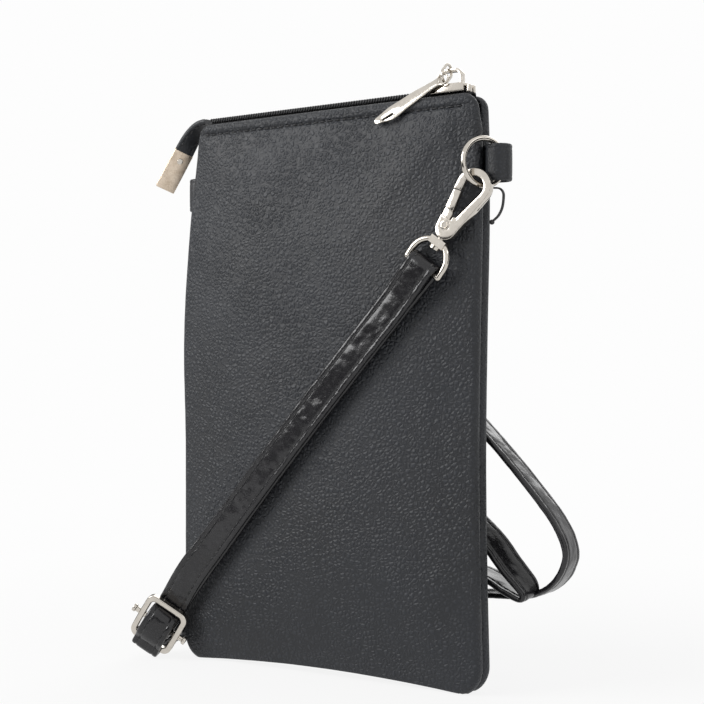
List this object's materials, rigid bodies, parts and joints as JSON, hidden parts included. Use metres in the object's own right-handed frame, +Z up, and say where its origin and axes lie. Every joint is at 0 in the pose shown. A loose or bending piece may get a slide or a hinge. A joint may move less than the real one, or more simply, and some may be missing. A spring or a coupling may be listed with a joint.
{
  "type": "phone pouch",
  "caption": "Upright crossbody phone pouch in grained leather with a zipped top, side rings, snap hooks and an adjustable strap looped round it.",
  "frame": {"origin": "on the ground under the middle of the pouch, at the seam between the two panels", "axes": "+X to the right of the front, +Y from the front to the back, +Z up along the pouch's height"},
  "size_m": [0.1607, 0.0513, 0.2067],
  "materials": {
    "grained_leather": "pebbled satin",
    "strap_leather": "fine grain satin",
    "lining": "woven matt",
    "zip_tape": "woven matt",
    "zip_coil": "satin",
    "pale_metal": "polished pale plating",
    "string": "twisted thread",
    "catch": "satin"
  },
  "bodies": {
    "pouch": {"front_panel": "grained_leather", "back_panel": "grained_leather", "front_lining": "lining", "back_lining": "lining", "zip_tape_front": "zip_tape", "zip_tape_back": "zip_tape", "zip_coil_front": "zip_coil", "zip_coil_back": "zip_coil", "zip_stop_front": "pale_metal", "zip_stop_back": "pale_metal", "tab_right": "strap_leather", "tab_left": "strap_leather", "strap_inner": "strap_leather", "strap_outer": "strap_leather", "strap_back": "strap_leather", "adjuster_bar": "pale_metal", "tag_loop": "string", "tag_catch": "catch"},
    "slider": {"zip_slider": "pale_metal"},
    "link": {"zip_link": "pale_metal"},
    "pull": {"zip_pull": "pale_metal"},
    "tail": {"zip_tail": "strap_leather", "zip_end_plate": "pale_metal", "zip_end_stud": "pale_metal"},
    "ring_right": {"ring_right": "pale_metal"},
    "ring_left": {"ring_left": "pale_metal"},
    "eye_right": {"swivel_eye_right": "pale_metal"},
    "eye_left": {"swivel_eye_left": "pale_metal"},
    "hook_right": {"hook_body_right": "pale_metal", "gate_rivet_right": "pale_metal", "gate_spring_right": "pale_metal", "swivel_post_right": "pale_metal"},
    "hook_left": {"hook_body_left": "pale_metal", "gate_rivet_left": "pale_metal", "gate_spring_left": "pale_metal", "swivel_post_left": "pale_metal"},
    "gate_right": {"hook_gate_right": "pale_metal"},
    "gate_left": {"hook_gate_left": "pale_metal"},
    "adjuster": {"adjuster_frame": "pale_metal"}
  },
  "joints": [
    {"name": "slider_slide", "type": "slide", "parent": "pouch", "child": "slider", "axis": [-0.9997, 0, -0.0227], "range_m": [0, 0.091]},
    {"name": "link_swing", "type": "hinge", "parent": "slider", "child": "link", "pos_m": [0.04731, 0, 0.20394], "axis": [-0.9997, 0, -0.0227], "range_deg": [0, 85]},
    {"name": "pull_swing", "type": "hinge", "parent": "link", "child": "pull", "pos_m": [0.04738, -0.00401, 0.20081], "axis": [0, 0.9563, -0.2924], "range_deg": [-20, 62]},
    {"name": "tail_lift", "type": "hinge", "parent": "pouch", "child": "tail", "pos_m": [-0.05061, 0, 0.19477], "axis": [0, 1, 0], "range_deg": [-4, 18]},
    {"name": "ring_turn_right", "type": "hinge", "parent": "pouch", "child": "ring_right", "pos_m": [0.06614, -0.00072, 0.1725], "axis": [0, 0, 1], "range_deg": [-1.5, 1.5]},
    {"name": "ring_turn_left", "type": "hinge", "parent": "pouch", "child": "ring_left", "pos_m": [-0.05922, 0.00632, 0.169], "axis": [0, 0, 1], "range_deg": [-1.5, 1.5]},
    {"name": "eye_tilt_right", "type": "hinge", "parent": "pouch", "child": "eye_right", "pos_m": [0.04351, -0.01055, 0.13933], "axis": [0.8192, 0, -0.5736], "range_deg": [-0.6, 0.4]},
    {"name": "eye_tilt_left", "type": "hinge", "parent": "pouch", "child": "eye_left", "pos_m": [-0.03659, 0.01615, 0.13583], "axis": [-0.8192, 0, -0.5736], "range_deg": [-0.6, 0.4]},
    {"name": "hook_swivel_right", "type": "hinge", "parent": "eye_right", "child": "hook_right", "pos_m": [0.06174, -0.00777, 0.16536], "axis": [-0.5714, -0.0872, -0.816], "range_deg": [-2, 3]},
    {"name": "hook_swivel_left", "type": "hinge", "parent": "eye_left", "child": "hook_left", "pos_m": [-0.05482, 0.01337, 0.16186], "axis": [0.5714, 0.0872, -0.816], "range_deg": [-2, 3]},
    {"name": "gate_right_open", "type": "hinge", "parent": "hook_right", "child": "gate_right", "pos_m": [0.05152, -0.00922, 0.15233], "axis": [-0.05, 0.9962, -0.0714], "range_deg": [0, 22], "stiffness_Nm_per_rad": 0.02, "springref_deg": -17.19},
    {"name": "gate_left_open", "type": "hinge", "parent": "hook_left", "child": "gate_left", "pos_m": [-0.0446, 0.01481, 0.14883], "axis": [0.05, -0.9962, -0.0714], "range_deg": [0, 22], "stiffness_Nm_per_rad": 0.02, "springref_deg": -17.19},
    {"name": "adjuster_tilt", "type": "hinge", "parent": "pouch", "child": "adjuster", "pos_m": [-0.06352, -0.01315, 0.01262], "axis": [0.7698, 0.342, -0.539], "range_deg": [-1, 2]}
  ]
}
